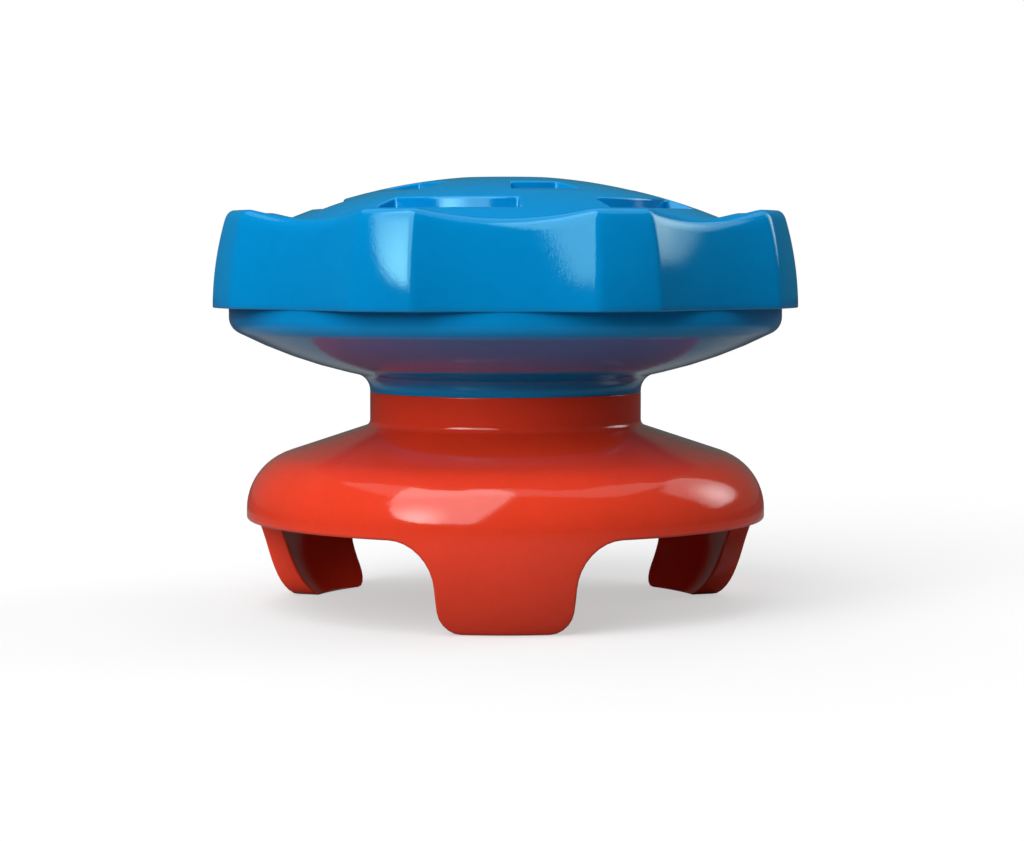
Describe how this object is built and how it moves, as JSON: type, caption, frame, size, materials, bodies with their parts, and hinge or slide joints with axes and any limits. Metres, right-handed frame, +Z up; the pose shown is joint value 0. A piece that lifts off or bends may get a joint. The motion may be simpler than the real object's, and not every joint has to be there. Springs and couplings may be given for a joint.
{
  "type": "controller thumb grip",
  "caption": "Clip-on thumb grip: a soft domed cap with a scalloped rim, moulded on a flared neck above a stiff round socket with curled gripping prongs.",
  "frame": {"origin": "on the axis, in the plane of the prong tips", "axes": "+Z up along the axis, from the clip to the cap; -Y is the front, where one prong and one scallop are centred; +X to the right"},
  "size_m": [0.0214, 0.0214, 0.0161],
  "materials": {
    "clip": "gloss",
    "cap": "satin"
  },
  "bodies": {
    "root": {"clip_base": "clip", "grip_cap": "cap"}
  },
  "joints": []
}
